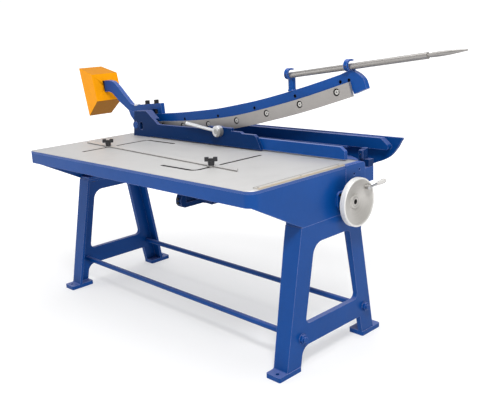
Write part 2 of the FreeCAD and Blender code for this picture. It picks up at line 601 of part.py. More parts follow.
hdir = V(1, 0, HSL)
hdir.normalize()
bar_p = V(BAR_X0, HY, bar_z(BAR_X0))
bar_len = (BAR_X1 - BAR_X0) * math.hypot(1, HSL)
bar_end = bar_p + hdir * bar_len
bar = Part.makeCylinder(HANDLE_R, bar_len, bar_p, hdir)
bar = fuse(bar, Part.makeCylinder(8.0, 11, bar_end - hdir, hdir), Part.makeCylinder(5.0, 42, bar_end - hdir, hdir))
add("handle_bar", bar)
# cigar shaped grip ending in a small ball
gp_line = [(14, 9.9), (30, 10.5), (52, 10.7), (76, 10.2), (100, 9.0), (130, 6.7), (154, 4.4), (163, 3.6)]
crv = Part.BSplineCurve()
crv.interpolate([V(a, b, 0) for a, b in gp_line])
tip = [V(163, 3.6, 0), V(163, 0, 0), V(10.2, 0, 0), V(10.2, 9.2, 0), V(14, 9.9, 0)]
grip_face = Part.Face(Part.Wire([crv.toShape()] + [Part.LineSegment(p, q).toShape() for p, q in zip(tip, tip[1:])]))
g = grip_face.revolve(V(0, 0, 0), V(1, 0, 0), 360)
g = fuse(g, Part.makeSphere(4.2, V(165.5, 0, 0)))
g = g.cut(Part.makeCylinder(5.0, 31.2, V(10, 0, 0), V(1, 0, 0)))
g.rotate(V(0, 0, 0), V(0, 1, 0), -math.degrees(math.atan(HSL)))
g.translate(bar_end)
add("handle_grip", g)
hs = []
for i, xm in enumerate((438.7, 789.8)):
    x0, x1 = xm - 10, xm + 10
    zr = bar_z(xm) + 7.6
    ztop = 1145.0 if i == 0 else 1242.0
    ring = cyl_x(x0, x1, HY, zr, 27)
    tip_up = prism([(HY - 2, zr + 17), (HY - 2, zr + 27), (HY + 10, zr + 26.6), (HY + 26, zr + 22.5), (HY + 24, zr + 18.2)], "yz", x0, x1)
    lip = prism([(HY - 2, zr - 27), (HY + 20, zr - 27), (HY + 30, zr - 24), (HY + 30, zr - 19), (HY - 2, zr - 19)], "yz", x0, x1, {3: 2})
    post = cyl_z(ztop - 25, zr - 19, xm, 732, 18)
    h = fuse(ring, tip_up, lip, post, Part.makeCone(22, 18, 10, V(xm, 732, ztop), V(0, 0, 1)))
    h = h.cut(fuse(cyl_x(x0 - 5, x1 + 5, HY + 2, zr, 18), box(x0 - 5, x1 + 5, HY + 2, HY + 60, zr - 19, zr + 17.5)))
    h = h.cut(Part.makeCylinder(HANDLE_R, 400, V(xm, HY, bar_z(xm)) - hdir * 200, hdir))
    h = h.cut(cyl_y(HY - 40, HY, xm, zr - 4, 4))
    h = h.cut(beam_wide)
    h = h.cut(cyl_z(ztop - 60, zr - 34, xm, 732, 6))
    h = sorted(h.Solids, key=lambda q: -q.Volume)[0]
    st = cyl_z(ztop - 26, max(zr - 34, ztop + 1), xm, 732, 6).cut(h)
    st = sorted(st.Solids, key=lambda q: -q.Volume)[0]
    beam = beam.cut(st)
    clampscrew = cyl_y(HY - 26.2, HY - 14.0, xm, zr - 4, 4).cut(hexagon("y", xm, HY - 28, zr - 4, 4, 6))
    hs += [st, clampscrew]
    add("hook_left" if i == 0 else "hook_right", h)
add("hook_screws", *hs)
add("blade_beam", beam)

# ---------------------------------------------------------------- front gauge
GA = -0.0608
GAUGE_W = 36.0
GZ0, GZ1 = TABLE_TOP + 0.3, TABLE_TOP + 6.3


def strip_y(x):
    """Front edge of the gauge bar."""
    return 294.9 + GA * (x + 541.0)


strip = prism([(-773, strip_y(-773)), (554, strip_y(554)), (521, strip_y(521) + GAUGE_W), (-809, strip_y(-809) + GAUGE_W)],
              "xy", GZ0, GZ1)
ang = math.degrees(math.atan(GA))
KN = [(-541.0, strip_y(-541) + 4.0), (371.0, strip_y(371) + 4.0)]
for x, y in KN:
    ear = box(-17, 17, -15, 10, GZ0, GZ1)
    ear = fillet(ear, lambda e: vertical(e) and e.Vertexes[0].Point.y < 0, 4)
    ear.rotate(V(0, 0, 0), V(0, 0, 1), ang)
    ear.translate(V(x, y, 0))
    strip = fuse(strip, ear)
for x, y in KN:
    strip = strip.cut(cyl_z(840, 860, x, y, 5.05))
add("front_gauge_bar", strip)
tn = []
for i, (x, y) in enumerate(KN):
    zb = GZ1 + 0.3
    k = Part.makeCone(14, 16, 22, V(x, y, zb), V(0, 0, 1))
    w = box(-29, 29, -7, 7, zb + 19, zb + 38)
    w = w.cut(box(-11, 11, -10, 10, zb + 32, zb + 40))
    w.rotate(V(0, 0, 0), V(0, 0, 1), 40)
    w.translate(V(x, y, 0))
    k = fuse(k, w, cyl_z(826, zb + 1, x, y, 5.0))
    add("gauge_knob_left" if i == 0 else "gauge_knob_right", k)
    n = fuse(box(x - 16, x + 16, y - 14, y + 14, 827, 835.6), cyl_z(835, 848.5, x, y, 9.6))
    tn.append(n.cut(cyl_z(820, 855, x, y, 5.05)))
add("gauge_slide_nuts", *tn)

# ---------------------------------------------------------------- rear gauge
bow = [(979, 940), (979, 931), (971, 921), (961, 902), (946, 882), (929, 862), (902, 841), (878, 829), (856, 820),
       (846, 817), (830, 810), (812, 805)]
bowl = [(70 - p[0], p[1]) for p in bow][::-1]
g_plate = curve_prism([("l", [bow[0], bow[1]]), ("s", bow[1:]), ("l", [bow[-1], bowl[0]]),
                       ("s", bowl[:-1]), ("l", [bowl[-2], bowl[-1], bow[0]])], "xz", 850, 862)
g_band = prism([(-848, 884), (918, 884), (926, 898), (919, 908), (884, 936), (-814, 936), (-849, 908), (-856, 898)],
               "xz", 820, 851, {0: 6, 1: 6, 2: 6, 3: 6, 4: 4, 5: 4, 6: 6, 7: 6})
g_lip = box(-630, 700, 812, 851, 878, 884)
g_neck = box(255, 347, 850, 862, 668, 842)
g_beam = fuse(g_plate, g_band, g_lip, g_neck)
G_BOLTS = [(293, 690), (309, 724)]
for x, z in G_BOLTS:
    g_beam = g_beam.cut(cyl_y(840, 870, x, z, 5))
add("rear_gauge_beam", g_beam)

garm = prism([(95, 715), (104, 736), (112, GARM_Z1), (850, GARM_Z1), (850, GARM_Z0), (116, GARM_Z0), (104, 684), (95, 696)],
             "yz", ARM_X0, ARM_X1)
garm = garm.cut(prism([(266, 660), (616, 660), (616, 720), (266, 720)], "yz", ARM_X0 + 12.5, ARM_X1 + 1))
garm = garm.cut(prism([(126, 700), (206, 700), (206, 728), (126, 728)], "yz", ARM_X1 - 8, ARM_X1 + 1, {0: 5, 1: 5, 2: 5, 3: 5}))
RACK_X = 307.0
RS_Y = [285, 600]
gb = []
for x, z in G_BOLTS:
    garm = garm.cut(cyl_y(815, 855, x, z, 5))
    gb.append(cyl_y(818, 864, x, z, 5).fuse(hexagon("y", x, 862, z, 17, 7)).removeSplitter())
for y in RS_Y:
    garm = garm.cut(cyl_z(712, 745, RACK_X, y, 4)).cut(cyl_z(736.5, 745, RACK_X, y, 8))
    gb.append(cyl_z(711.5, 740, RACK_X, y, 4).fuse(hexagon("z", RACK_X, y, 736.5, 13, 5)).removeSplitter())
for z in (721, 701):
    garm = garm.cut(cyl_y(90, 112, 301, z, 4))
    gb.append(cyl_y(94, 111, 301, z, 4).fuse(cyl_y(89, 95, 301, z, 6.5)).removeSplitter().cut(hexagon("y", 301, 88, z, 5, 4)))
add("rear_gauge_arm", garm)
add("gauge_bolts", *gb)

M = 2.0 * PINION_PITCH_R / PINION_TEETH
PITCH = math.pi * M
zp = WHEEL_Z + PINION_PITCH_R
teeth = []
y0, y1 = 267.0, 615.0
n0 = int(math.floor((y0 - WHEEL_Y) / PITCH)) + 1
n1 = int(math.floor((y1 - WHEEL_Y) / PITCH)) - 1
pts = [(y0, 720), (y0, zp + 2.5)]
for k in range(n0, n1 + 1):
    c = WHEEL_Y + (k + 0.5) * PITCH
    pts += [(c - 2.2, zp + 2.5), (c - 0.75, zp - 1.7), (c + 0.75, zp - 1.7), (c + 2.2, zp + 2.5)]
pts += [(y1, zp + 2.5), (y1, 720)]
rack = prism(pts, "yz", ARM_X0 + 13.5, ARM_X1 - 1)
for y in RS_Y:
    rack = rack.cut(cyl_z(705, 725, RACK_X, y, 4))
add("gauge_rack", rack)
gp_pts = []
for k in range(PINION_TEETH):
    a0 = math.radians(90 + 360.0 * k / PINION_TEETH)
    for da, r in ((-2.05 / 13.5, 13.5), (-0.72 / 17.6, 17.6), (0.72 / 17.6, 17.6), (2.05 / 13.5, 13.5)):
        gp_pts.append((WHEEL_Y - r * math.cos(a0 + da) * -1, WHEEL_Z + r * math.sin(a0 + da)))
pinion = prism(gp_pts, "yz", 297, 316).cut(cyl_x(280, 320, WHEEL_Y, WHEEL_Z, SHAFT_R))
add("gauge_pinion", pinion)

# channel that carries the gauge arm below the table
ch = fuse(box(268, 334, 265, 640, 744, 779),
          box(268, ARM_X0 - 0.4, 265, 640, 662, 779), box(ARM_X1 + 0.4, 334, 265, 640, 662, 779),
          box(268, 334, 268, 575, 662, GARM_Z0 - 0.4), box(268, 334, 617, 640, 662, GARM_Z0 - 0.4))
ch = ch.cut(cyl_x(310, 400, WHEEL_Y, WHEEL_Z, SHAFT_R + PIVOT_CLEAR))
for x, y in CH_XY2:
    ch = ch.cut(cyl_z(760, 790, x, y, 4))
add("gauge_channel", ch)
chs = [cyl_z(764, 796, x, y, 4) for x, y in CH_XY2]

shaft = cyl_x(297, 893, WHEEL_Y, WHEEL_Z, SHAFT_R)
shaft = shaft.cut(box(876, 900, WHEEL_Y - 3, WHEEL_Y + 3, WHEEL_Z + SHAFT_R - 3, WHEEL_Z + SHAFT_R + 2))
add("cross_shaft", shaft)
add("wheel_key", box(877, 892, WHEEL_Y - 2.9, WHEEL_Y + 2.9, WHEEL_Z + SHAFT_R - 2.9, WHEEL_Z + SHAFT_R + 2.4))
collar = cyl_x(334.4, 346, WHEEL_Y, WHEEL_Z, 17).cut(cyl_x(300, 400, WHEEL_Y, WHEEL_Z, SHAFT_R))
add("shaft_collar", collar)


def flange_outline(x0, x1, e):
    p = [(514 - e, 660 - e), (675 + e, 660 - e), (675 + e, 742 + e), (514 - e, 742 + e)]
    return prism(p, "yz", x0, x1, {0: 28, 1: 28, 2: 28, 3: 28})


fl = fuse(flange_outline(TABLE_HALF, TABLE_HALF + 10, 0.0), cyl_x(TABLE_HALF - 14, TABLE_HALF + 10, WHEEL_Y, WHEEL_Z, 23.9))
fl = fl.cut(cyl_x(800, 900, WHEEL_Y, WHEEL_Z, SHAFT_R + PIVOT_CLEAR))
body = body.cut(flange_outline(TABLE_HALF, TABLE_HALF + 11, 0.2))
FS = [(531, 729), (660, 729), (531, 673), (660, 673)]
fsc = []
for y, z in FS:
    fl = fl.cut(cyl_x(850, 880, y, z, 4))
    body = body.cut(cyl_x(848, 870, y, z, 4))
    fsc.append(cyl_x(852, TABLE_HALF + 11, y, z, 4).fuse(cyl_x(TABLE_HALF + 10, TABLE_HALF + 16, y, z, 7)).removeSplitter().cut(
        hexagon("x", TABLE_HALF + 13, y, z, 6, 5)))
add("bearing_flange", fl)
add("shaft_support_screws", *(fsc + chs))
add("table_body", body)

# ---------------------------------------------------------------- handwheel
wp = [(873, 10), (893, 10), (893, 11.5), (907, 11.5), (907, 30), (905, 32), (902, 34), (903, 38), (926, 99), (928.5, 101),
      (930, 104), (929.5, 107), (927, 109), (905, 109), (902.5, 107), (902, 101), (917, 99), (895, 36), (884, 30), (873, 24)]
w = Part.makePolygon([V(p[0], WHEEL_Y, WHEEL_Z + p[1]) for p in wp] + [V(wp[0][0], WHEEL_Y, WHEEL_Z + wp[0][1])])
wheel = Part.Face(w).revolve(V(0, WHEEL_Y, WHEEL_Z), V(1, 0, 0), 360)
wheel = wheel.cut(box(870, 893, WHEEL_Y - 3, WHEEL_Y + 3, WHEEL_Z, WHEEL_Z + SHAFT_R + 2.5))
U = V(0, 0.9968, 0.0804)
U.normalize()
A = V(0, U.z, -U.y)
C = V(937, 653, 746)


def obox(c, lx, lu, la, du=0.0, dx=0.0, da=0.0):
    """Box of size lx, lu, la along X, U and A, centred on c."""
    p = []
    o = c + U * du + V(dx, 0, 0) + A * da
    for su, sa in ((-1, -1), (1, -1), (1, 1), (-1, 1)):
        p.append(o + V(-lx / 2, 0, 0) + U * (su * lu / 2) + A * (sa * la / 2))
    return Part.Face(Part.makePolygon(p + [p[0]])).extrude(V(lx, 0, 0))


for s in (-1, 1):
    ear = obox(C, 30, 14, 5, dx=-8.5, da=s * 9.0)
    wheel = wheel.fuse(ear)
wheel = wheel.cut(Part.makeCylinder(3, 40, C - A * 20, A)).removeSplitter()
add("handwheel", wheel)
add("crank_hinge_pin", Part.makeCylinder(3, 23, C - A * 11.5, A))
eye = Part.makeCylinder(6.5, 12.4, C - A * 6.2, A)
crank = fuse(eye, Part.makeCylinder(5.5, 56.7, C, U), Part.makeCylinder(5, 123, C, U))
crank = crank.cut(Part.makeCylinder(3.05, 40, C - A * 20, A))
crank = fuse(crank, Part.makeCylinder(7.0, 3.2, C + U * 121.8, U))
add("crank_stem", crank)
grip = Part.makeCone(7.0, 10.5, 30, C + U * 57, U).fuse(Part.makeCone(10.5, 12.0, 26, C + U * 87, U))
grip = fuse(grip, Part.makeCone(12.0, 10.0, 8.4, C + U * 113, U))
grip = grip.cut(Part.makeCylinder(5.05, 80, C + U * 50, U))
add("crank_grip", grip)

# ---------------------------------------------------------------- blade guide
blk = box(800, 862, 727.4, 798, 744, 810)
blk = fillet(blk, lambda e: vertical(e) and e.Vertexes[0].Point.y > 790, 3)
blk = fuse(blk, box(842.4, 849.9, 636, 735, 766, 821.9))
for y, z in PAD_YZ:
    blk = blk.cut(cyl_x(830, 880, y, z, 6))
for x, y in ((835, 781),):
    blk = blk.cut(cyl_z(780, 820, x, y, 8))
add("blade_guide_block", blk)
gbs = [cyl_x(842.6, TABLE_HALF - 5, y, z, 6).cut(hexagon("x", TABLE_HALF - 10, y, z, 7, 8)) for y, z in PAD_YZ]
gpost = fuse(box(810, 860, 764, 798, 810, 844), cyl_z(843, 893, 826, 781, 14), box(815, 837, 752, 781, 844, 888))
gpost = gpost.cut(cyl_z(800, 830, 835, 781, 8))
gpost = gpost.cut(cyl_y(750, 766, 826, 868, 4))
add("blade_guide_post", gpost)
gbs.append(cyl_z(781, 829, 835, 781, 8))
shoe = box(816, 836, 745.7, 752, 850, 886).cut(cyl_y(740, 760, 826, 868, 4))
add("blade_guide_shoe", shoe)
gbs.append(cyl_y(747.2, 765, 826, 868, 4))
add("blade_guide_screws", *gbs)

# ---------------------------------------------------------------- write
if __name__ == "__main__":
    for name, solids in sorted(NODES.items()):
        assert len(name) < 60
        out = [s.copy() for s in solids]
        for s in out:
            s.translate(V(0, -ORIGIN_Y, 0))
        shape = out[0] if len(out) == 1 else Part.Compound(out)
        shape.exportStep("parts/%s.step" % name)
        bb = shape.BoundBox
        print("%-24s %2d solids  x %7.1f %7.1f  y %7.1f %7.1f  z %7.1f %7.1f  %10.0f mm3" % (
            name, len(out), bb.XMin, bb.XMax, bb.YMin, bb.YMax, bb.ZMin, bb.ZMax, sum(s.Volume for s in out)))
    print(len(NODES), "nodes")
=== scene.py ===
import bpy, bmesh, math, json
from mathutils import Vector, Matrix


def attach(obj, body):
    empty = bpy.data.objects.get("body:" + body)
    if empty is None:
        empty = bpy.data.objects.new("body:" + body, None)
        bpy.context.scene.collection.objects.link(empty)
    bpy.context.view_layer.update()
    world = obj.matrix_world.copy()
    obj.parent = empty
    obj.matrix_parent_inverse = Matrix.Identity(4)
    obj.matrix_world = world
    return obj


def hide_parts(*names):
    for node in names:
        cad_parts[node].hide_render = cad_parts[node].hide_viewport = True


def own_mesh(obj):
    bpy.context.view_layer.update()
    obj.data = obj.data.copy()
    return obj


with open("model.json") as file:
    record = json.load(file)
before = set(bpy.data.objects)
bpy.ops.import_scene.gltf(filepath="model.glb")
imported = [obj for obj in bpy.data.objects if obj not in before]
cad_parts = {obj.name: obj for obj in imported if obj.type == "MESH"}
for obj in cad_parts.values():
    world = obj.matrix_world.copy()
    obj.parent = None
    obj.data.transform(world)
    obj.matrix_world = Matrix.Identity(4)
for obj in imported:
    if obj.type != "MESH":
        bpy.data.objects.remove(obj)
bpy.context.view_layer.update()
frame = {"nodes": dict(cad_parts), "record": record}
NODES = frame["nodes"]
scene = bpy.context.scene


# ------------------------------------------------------------------ camera
# Solved from the three edge directions of the table.
def make_camera():
    az, el, roll = math.radians(46.488), math.radians(13.898), math.radians(2.988)
    d = Vector((-math.sin(az) * math.cos(el), math.cos(az) * math.cos(el), -math.sin(el)))
    right = Vector((math.cos(az), math.sin(az), 0.0))
    down = d.cross(right)
    r2 = right * math.cos(roll) + down * math.sin(roll)
    d2 = down * math.cos(roll) - right * math.sin(roll)
    cam = bpy.data.cameras.new("camera")
    ob = bpy.data.objects.new("camera", cam)
    scene.collection.objects.link(ob)
    rot = Matrix((r2, -d2, -d)).transposed()
    ob.matrix_world = Matrix.Translation((2.632043, -2.221855, 1.454620)) @ rot.to_4x4()
    cam.sensor_width = 36.0
    cam.lens = 36.0 * 677.877 / 499.0
    cam.shift_x = (249.5 - 238.472) / 499.0
    cam.shift_y = (195.330 - 205.0) / 499.0
    cam.clip_start, cam.clip_end = 0.05, 200.0
    scene.camera = ob


make_camera()


# ------------------------------------------------------------------ materials
def lin(r, g, b):
    """sRGB 0-255 to linear."""
    def f(c):
        c /= 255.0
        return c / 12.92 if c <= 0.04045 else ((c + 0.055) / 1.055) ** 2.4
    return (f(r), f(g), f(b), 1.0)


class Mat:
    """A small wrapper that builds a Principled material with procedural detail."""

    def __init__(self, name):
        self.m = bpy.data.materials.new(name)
        self.m.use_nodes = True
        self.nt = self.m.node_tree
        self.nt.nodes.clear()
        self.out = self.nt.nodes.new("ShaderNodeOutputMaterial")
        self.p = self.nt.nodes.new("ShaderNodeBsdfPrincipled")
        self.nt.links.new(self.p.outputs[0], self.out.inputs[0])
        self.tc = self.nt.nodes.new("ShaderNodeTexCoord")
        self.height = None

    def set(self, **kw):
        for k, v in kw.items():
            self.p.inputs[k.replace("_", " ")].default_value = v
        return self

    def mapping(self, scale=(1, 1, 1), rot=(0, 0, 0)):
        mp = self.nt.nodes.new("ShaderNodeMapping")
        mp.inputs["Scale"].default_value = scale
        mp.inputs["Rotation"].default_value = rot
        self.nt.links.new(self.tc.outputs["Object"], mp.inputs["Vector"])
        return mp.outputs["Vector"]

    def noise(self, scale, detail=3.0, rough=0.5, vec=None, dist=0.0):
        n = self.nt.nodes.new("ShaderNodeTexNoise")
        n.inputs["Scale"].default_value = scale
        n.inputs["Detail"].default_value = detail
        n.inputs["Roughness"].default_value = rough
        n.inputs["Distortion"].default_value = dist
        self.nt.links.new(vec if vec is not None else self.tc.outputs["Object"], n.inputs["Vector"])
        return n.outputs["Fac"]

    def ramp(self, fac, stops):
        r = self.nt.nodes.new("ShaderNodeValToRGB")
        el = r.color_ramp.elements
        while len(el) < len(stops):
            el.new(0.5)
        for e, (pos, col) in zip(el, stops):
            e.position = pos
            e.color = col if len(col) == 4 else (*col, 1.0)
        self.nt.links.new(fac, r.inputs["Fac"])
        return r.outputs["Color"]

    def rng(self, fac, lo, hi, a=0.0, b=1.0):
        r = self.nt.nodes.new("ShaderNodeMapRange")
        r.inputs["From Min"].default_value = a
        r.inputs["From Max"].default_value = b
        r.inputs["To Min"].default_value = lo
        r.inputs["To Max"].default_value = hi
        self.nt.links.new(fac, r.inputs["Value"])
        return r.outputs["Result"]

    def mix(self, fac, a, b):
        n = self.nt.nodes.new("ShaderNodeMix")
        n.data_type = "RGBA"
        if isinstance(fac, float):
            n.inputs["Factor"].default_value = fac
        else:
            self.nt.links.new(fac, n.inputs["Factor"])
        for sock, v in ((n.inputs[6], a), (n.inputs[7], b)):
            if isinstance(v, tuple):
                sock.default_value = v
            else:
                self.nt.links.new(v, sock)
        return n.outputs[2]

    def math(self, op, a, b):
        n = self.nt.nodes.new("ShaderNodeMath")
        n.operation = op
        for s, v in zip(n.inputs, (a, b)):
            if isinstance(v, (int, float)):
                s.default_value = v
            else:
                self.nt.links.new(v, s)
        return n.outputs[0]

    def link(self, out, socket):
        self.nt.links.new(out, self.p.inputs[socket])
        return self

    def bump(self, fac, strength, distance):
        b = self.nt.nodes.new("ShaderNodeBump")
        b.inputs["Strength"].default_value = strength
        b.inputs["Distance"].default_value = distance
        self.nt.links.new(fac, b.inputs["Height"])
        if self.height is not None:
            self.nt.links.new(self.height, b.inputs["Normal"])
        self.height = b.outputs["Normal"]
        self.nt.links.new(self.height, self.p.inputs["Normal"])
        return self


def scale_col(c, k):
    return (min(1.0, c[0] * k), min(1.0, c[1] * k), min(1.0, c[2] * k), 1.0)


def blend_col(a, b, t):
    return tuple(a[i] * (1 - t) + b[i] * t for i in range(3)) + (1.0,)


class Mat2(Mat):
    """Adds positions, edge masks and tests to the wrapper."""

    def xyz(self):
        s = self.nt.nodes.new("ShaderNodeSeparateXYZ")
        self.nt.links.new(self.tc.outputs["Object"], s.inputs[0])
        return s.outputs[0], s.outputs[1], s.outputs[2]

    def edge(self, radius=0.003, lo=0.03, hi=0.22):
        """1 along sharp edges, 0 on flats, from the rounded against the true normal."""
        bv = self.nt.nodes.new("ShaderNodeBevel")
        bv.samples = 4
        bv.inputs["Radius"].default_value = radius
        g = self.nt.nodes.new("ShaderNodeNewGeometry")
        both = []
        for face in ("True Normal", "Normal"):
            d = self.nt.nodes.new("ShaderNodeVectorMath")
            d.operation = "DOT_PRODUCT"
            self.nt.links.new(bv.outputs[0], d.inputs[0])
            self.nt.links.new(g.outputs[face], d.inputs[1])
            both.append(d.outputs["Value"])
        a = self.rng(both[0], 0.0, 1.0, 1.0 - lo, 1.0 - hi)
        b = self.rng(both[1], 0.0, 1.0, 1.0 - 0.2 * lo, 1.0 - 0.2 * hi)
        return self.math("MINIMUM", a, b)

    def up(self):
        g = self.nt.nodes.new("ShaderNodeNewGeometry")
        s = self.nt.nodes.new("ShaderNodeSeparateXYZ")
        self.nt.links.new(g.outputs["True Normal"], s.inputs[0])
        return s.outputs[2]

    def gt(self, a, b):
        return self.math("GREATER_THAN", a, b)

    def lt(self, a, b):
        return self.math("LESS_THAN", a, b)

    def mul(self, a, b):
        return self.math("MULTIPLY", a, b)

    def mx(self, a, b):
        return self.math("MAXIMUM", a, b)

    def dist(self, u, v, cu, cv):
        du = self.math("SUBTRACT", u, cu)
        dv = self.math("SUBTRACT", v, cv)
        return self.math("SQRT", self.math("ADD", self.mul(du, du), self.mul(dv, dv)), 0.0)

    def near(self, u, v, pts, r):
        """1 within r of any of the axes."""
        m = None
        for cu, cv in pts:
            t = self.lt(self.dist(u, v, cu, cv), r)
            m = t if m is None else self.mx(m, t)
        return m


# Lavender for painted highlights on the enamel's edges and up-facing faces.
PAINTED_HIGHLIGHT = lin(150, 160, 214)
METAL = lin(150, 150, 152)


def paint(name, col, rough=0.36, cast=1.0, var=0.10, edge_r=0.0035, shade=0.62, edge_gain=0.5, wear=0.35, spec=0.15,
          coat=0.08, top=0.3, post=None):
    """Enamel over a casting: slight orange peel, lumps, tone drift, bare-metal chips at edges, a painted highlight
    lightening the edges and up-facing faces, and painted shade darkening down-facing faces.
    """
    m = Mat2(name)
    m.set(Roughness=rough, IOR=1.45, Specular_IOR_Level=spec, Coat_Weight=coat, Coat_Roughness=0.12)
    base = m.ramp(m.noise(3.1, 3.0, 0.5), [(0.25, scale_col(col, 1.0 - var)), (0.75, scale_col(col, 1.0 + var))])
    fine = m.noise(55.0, 4.0, 0.65)
    base = m.mix(m.rng(fine, 0.0, 0.22, 0.45, 0.75), base, scale_col(col, 0.72))
    # Painted shade: down-facing faces darkened by up to shade.
    painted_underside_shade = m.rng(m.up(), 1.0 - shade, 0.0, -0.9, -0.1)
    base = m.mix(painted_underside_shade, base, (0.0, 0.0, 0.0, 1.0))
    # Painted highlight: up-facing faces lightened towards lavender; a negative top paints shade there instead.
    if top:
        base = m.mix(m.rng(m.up(), 0.0, abs(top), 0.55, 0.95), base, PAINTED_HIGHLIGHT if top > 0 else scale_col(col, 0.62))
    # Painted highlight: edges lightened towards lavender.
    e = m.edge(edge_r)
    base = m.mix(m.mul(e, edge_gain), base, PAINTED_HIGHLIGHT)
    chip = m.mul(m.rng(e, 0.0, 1.0, 0.35, 0.8), m.rng(m.noise(34.0, 5.0, 0.7), 0.0, wear, 0.6, 0.68))
    base = m.mix(chip, base, METAL)
    if post is not None:
        base = post(m, base)
    m.link(base, "Base Color")
    m.link(m.rng(m.noise(26.0, 4.0, 0.6), rough - 0.07, rough + 0.1), "Roughness")
    m.bump(m.noise(38.0, 2.0, 0.5), 0.22 * cast, 0.0012)
    m.bump(m.noise(420.0, 2.0, 0.5), 0.18 * cast, 0.0003)
    return m.m


def steel(name, col, rough, grain=(1, 60, 60), gscale=6.0, metallic=0.9, gs=0.25, var=0.06, edge_gain=0.35,
          edge_r=0.0015, post=None, smut=0.12):
    """Machined steel: fine stretched grain in colour, gloss and height, smudges, and a painted highlight brightening
    the edges.
    """
    m = Mat2(name)
    m.set(Metallic=metallic, Roughness=rough, IOR=1.8)
    g = m.noise(gscale, 6.0, 0.7, m.mapping(grain))
    big = m.noise(2.4, 3.0, 0.55)
    fac = m.rng(m.math("ADD", m.mul(g, 0.6), m.mul(big, 0.4)), 0.0, 1.0, 0.3, 0.7)
    base = m.mix(fac, scale_col(col, 1.0 - var), scale_col(col, 1.0 + var))
    base = m.mix(m.rng(m.noise(9.0, 5.0, 0.65), 0.0, smut, 0.5, 0.72), base, scale_col(col, 0.45))
    # Painted highlight: edges brightened.
    base = m.mix(m.mul(m.edge(edge_r), edge_gain), base, scale_col(col, 1.35))
    if post is not None:
        base = post(m, base)
    m.link(base, "Base Color")
    m.link(m.rng(g, rough - 0.08, rough + 0.1, 0.25, 0.75), "Roughness")
    m.bump(g, gs, 0.0002)
    return m.m


def plain(name, col, rough, scale=300.0, strength=0.2, var=0.08, edge_gain=0.3, edge_col=None, post=None, **kw):
    m = Mat2(name)
    m.set(Roughness=rough, **kw)
    n = m.noise(18.0, 4.0, 0.6)
    base = m.ramp(n, [(0.3, scale_col(col, 1.0 - var)), (0.7, scale_col(col, 1.0 + var))])
    # Painted highlight: edges lightened.
    base = m.mix(m.mul(m.edge(0.0015), edge_gain), base, edge_col or scale_col(col, 1.6))
    if post is not None:
        base = post(m, base)
    m.link(base, "Base Color")
    m.link(m.rng(n, rough - 0.06, rough + 0.08, 0.3, 0.7), "Roughness")
    m.bump(m.noise(scale, 2.0, 0.5), strength, 0.0003)
    return m.m


BLUE = lin(3, 67, 139)
# Darker copies of the blue enamel for parts in shade: painted shade.
SHADED_BLUE = lin(1, 42, 92)
BOAT_BLUE_IN_SHADE = lin(2, 56, 118)
AXES = [(x / 1000.0, z / 1000.0) for x, z in
        ((728, 1149), (507, 1085), (287, 1031), (68, 981), (-157, 948), (-378, 925), (-560, 912))]


SETS = [(x / 1000.0, z / 1000.0) for x, z in
        ((-374, 962), (-90.5, 995), (190, 1051.5), (467, 1122), (739, 1194), (787, 1203))]


def post_table(m, base):
    """Blue on the outer sides of the plate, painted shade darkening the slots, bright on the chamfer."""
    x, y, z = m.xyz()
    ax = m.math("ABSOLUTE", x, 0.0)
    outer = m.mx(m.gt(ax, 0.79), m.lt(y, -0.4635))
    side = m.mul(outer, m.lt(z, 0.8468))
    # Painted shade: the walls inside the slots darkened.
    inner = m.mul(m.math("SUBTRACT", 1.0, outer), m.lt(z, 0.8492))
    base = m.mix(inner, base, lin(30, 29, 30))
    return m.mix(side, base, BLUE)


def post_body(m, base):
    """Painted shade darkening the two channels that run below the slots."""
    x, y, z = m.xyz()
    ins = m.mul(m.lt(m.math("ABSOLUTE", x, 0.0), 0.61), m.mul(m.gt(y, -0.37), m.lt(y, 0.112)))
    # Painted shade: channel surfaces darkened.
    return m.mix(m.mul(ins, m.gt(z, 0.7885)), base, lin(24, 24, 27))


def post_arm(m, base):
    """Painted shade darkening the arm's end face where the arm meets the counterweight."""
    x, y, z = m.xyz()
    return m.mix(m.lt(x, -1.1665), base, lin(26, 25, 28))


def post_beam(m, base):
    """Painted shade in the recesses of the set screws."""
    x, y, z = m.xyz()
    return m.mix(m.near(x, z, SETS, 0.0084), base, lin(8, 14, 34))


def post_knife(m, base):
    """Painted shade in and around the counterbores."""
    x, y, z = m.xyz()
    return m.mix(m.near(x, z, AXES, 0.0176), base, lin(24, 24, 27))


def post_bolts(m, base):
    # Painted shade: the centre of each knife bolt head darkened.
    x, y, z = m.xyz()
    return m.mix(m.mul(m.near(x, z, AXES, 0.0042), 0.8), base, lin(40, 40, 44))


def post_shaft(m, base):
    """Painted shade of the hub's bore: the centre of the shaft's right end darkened."""
    x, y, z = m.xyz()
    return m.mix(m.gt(x, 0.884), base, lin(34, 33, 33))


def post_hub(m, base):
    """Turned centre boss of the clamp hub, darker than its faceted rim, and painted shade over one side of the hub."""
    x, y, z = m.xyz()
    base = m.mix(m.mul(m.lt(m.dist(x, z, 0.008, 0.932), 0.014), 0.75), base, lin(138, 138, 132))
    # Painted shade: the side of the hub beyond a slanted plane darkened.
    return m.mix(m.mul(m.gt(m.math("SUBTRACT", x, m.mul(z, 0.5)), -0.4435), 0.7), base, lin(98, 96, 88))


def post_rule(m, base):
    """A tan outer edge, a thin dark line along the inner edge and fine graduations."""
    x, y, z = m.xyz()
    base = m.mix(m.mul(m.gt(x, 0.8515), 0.85), base, lin(172, 154, 126))
    tick = m.mul(m.lt(m.math("FRACT", m.mul(y, 100.0), 0.0), 0.09), m.mul(m.gt(x, 0.833), m.lt(x, 0.8415)))
    base = m.mix(m.mul(tick, 0.55), base, lin(70, 68, 66))
    return m.mix(m.lt(x, 0.8312), base, lin(62, 58, 54))


